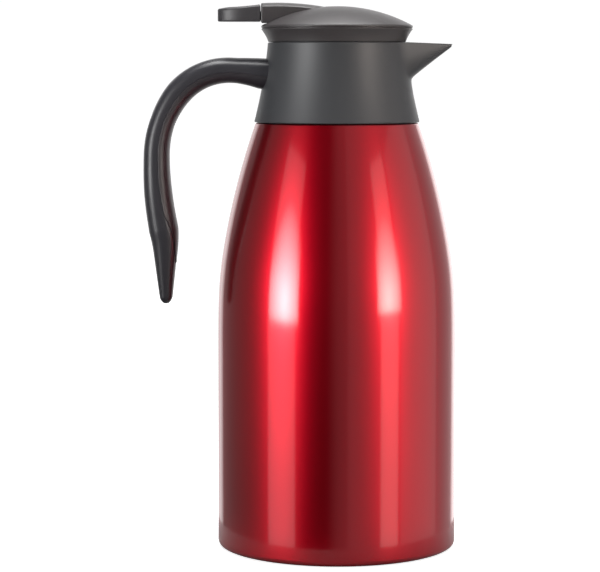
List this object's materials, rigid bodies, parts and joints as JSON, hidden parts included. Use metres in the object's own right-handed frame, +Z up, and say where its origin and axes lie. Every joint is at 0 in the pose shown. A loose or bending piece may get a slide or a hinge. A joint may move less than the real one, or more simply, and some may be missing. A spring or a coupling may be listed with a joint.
{
  "type": "thermal coffee carafe",
  "caption": "Double-walled vacuum coffee carafe with a red lacquered steel body, an open side handle, a pouring spout and a screw-in lid whose thumb lever lifts a sprung valve.",
  "frame": {"origin": "centre of the foot ring, on the surface that the carafe stands on", "axes": "+Z up along the bottle's axis, +X towards the spout with the handle on -X, +Y across"},
  "size_m": [0.1699, 0.13, 0.2957],
  "materials": {
    "red_lacquer": "clear-coated candy red over steel",
    "steel": "satin stainless steel",
    "foil": "bright foil",
    "seal_metal": "dull fused bead",
    "getter_metal": "sintered disc",
    "charcoal_plastic": "satin charcoal",
    "grip_plastic": "satin charcoal",
    "dark_plastic": "moulded, food-safe",
    "lid_plastic": "satin charcoal, warm grey in the light",
    "silicone": "translucent white silicone",
    "screw_steel": "stainless",
    "spring_steel": "drawn wire"
  },
  "bodies": {
    "carafe": {"outer_shell": "red_lacquer", "inner_liner": "steel", "radiation_foil": "foil", "base_plate": "steel", "evacuation_seal": "seal_metal", "getter": "getter_metal", "collar": "charcoal_plastic", "thread_ring": "dark_plastic", "collar_gasket": "silicone", "handle_shell": "charcoal_plastic", "handle_cover": "grip_plastic", "handle_screws": "screw_steel"},
    "mouth_seal": {"mouth_gasket": "silicone"},
    "lid": {"stopper_cup": "dark_plastic", "lid_deck": "dark_plastic", "stem_gland": "silicone", "spring_washer": "screw_steel", "deck_screws": "screw_steel", "lever_pin": "screw_steel", "lid_cover": "lid_plastic", "valve_spring": "spring_steel"},
    "lever": {"thumb_lever": "charcoal_plastic"},
    "valve": {"valve_stem": "dark_plastic", "valve_seal": "silicone", "stem_cap": "dark_plastic"}
  },
  "joints": [
    {"name": "lid_rise", "type": "slide", "parent": "carafe", "child": "mouth_seal", "axis": [0, 0, 1], "range_m": [0, 0.063]},
    {"name": "lid_turn", "type": "hinge", "parent": "mouth_seal", "child": "lid", "pos_m": [0, 0, 0.25], "axis": [0, 0, 1], "range_deg": [0, 1260]},
    {"name": "lever_press", "type": "hinge", "parent": "lid", "child": "lever", "pos_m": [-0.035, 0, 0.2874], "axis": [0, -1, 0], "range_deg": [0, 7.5], "stiffness_Nm_per_rad": 0.012, "springref_deg": -14.32},
    {"name": "valve_lift", "type": "slide", "parent": "lid", "child": "valve", "axis": [0, 0, 1], "range_m": [0, 0.00458], "deforming": ["valve_spring"]}
  ],
  "couplings": [
    {"joint": "lid_turn", "follows": "lid_rise", "rad_per_m": 349.07},
    {"joint": "lever_press", "follows": "valve_lift", "rad_per_m": 28.571}
  ]
}
